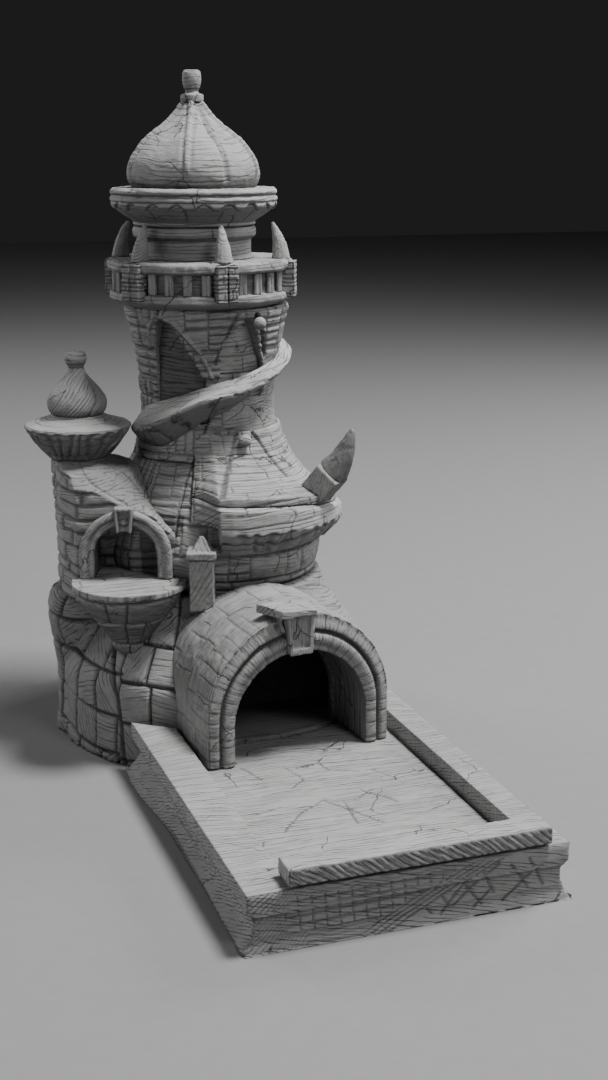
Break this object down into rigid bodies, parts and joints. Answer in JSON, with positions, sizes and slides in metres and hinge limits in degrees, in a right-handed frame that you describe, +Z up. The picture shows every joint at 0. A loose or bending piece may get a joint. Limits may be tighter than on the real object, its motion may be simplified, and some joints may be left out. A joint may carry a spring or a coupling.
{
  "type": "dice tower",
  "caption": "Castle-shaped dice tower with a lift-off domed lid, inner baffles, an arched doorway and a sliding catch tray.",
  "frame": {"origin": "on the table under the gallery's axis, on the drum's underside", "axes": "+Z up the tower; the doorway and the tray face -Y; the side turret is on -X"},
  "size_m": [0.1289, 0.2413, 0.2427],
  "materials": {
    "stonework": "matt light grey print, moulded as cut stone blocks with deep joints",
    "planking": "matt light grey print, moulded as worn planks with cracks",
    "tray_wood": "matt light grey print, moulded as rough timber with scratches",
    "domes": "matt light grey print, moulded as ribbed and cracked timber domes",
    "claws": "matt light grey print, moulded as striated horn"
  },
  "bodies": {
    "tower": {"drum_shell": "stonework", "doorway_arch": "stonework", "doorway_keystone": "stonework", "doorway_lintel": "planking", "exit_ramp": "planking", "waist_shell": "stonework", "baffle_lower": "planking", "baffle_middle": "planking", "baffle_upper": "planking", "niche_block": "stonework", "niche_surround": "stonework", "niche_keystone": "stonework", "niche_ledge": "planking", "ledge_corbel": "stonework", "corbel_post": "stonework", "skirt_roof": "planking", "skirt_band": "planking", "horn_socket": "stonework", "horn": "claws", "shaft_shell": "stonework", "spiral_ledge": "planking", "window_left": "planking", "window_right": "planking", "shutter_knobs": "claws", "gallery_ring": "stonework", "gallery_balusters": "stonework", "gallery_posts": "stonework", "gallery_claws": "claws", "neck_collar": "stonework", "turret_stem": "stonework", "turret_eave": "domes", "turret_dome": "domes", "turret_finial": "domes"},
    "tray": {"tray_frame": "tray_wood", "tray_floor": "tray_wood", "tray_front_sill": "tray_wood"},
    "lid": {"lid_bowl": "domes", "lid_rim": "domes", "lid_dome": "domes", "lid_finial": "domes"}
  },
  "joints": [
    {"name": "lid_lift", "type": "slide", "parent": "tower", "child": "lid", "axis": [0, 0, 1], "range_m": [0, 0.06]},
    {"name": "tray_slide", "type": "slide", "parent": "tower", "child": "tray", "axis": [0, -1, 0], "range_m": [0, 0.06]}
  ]
}
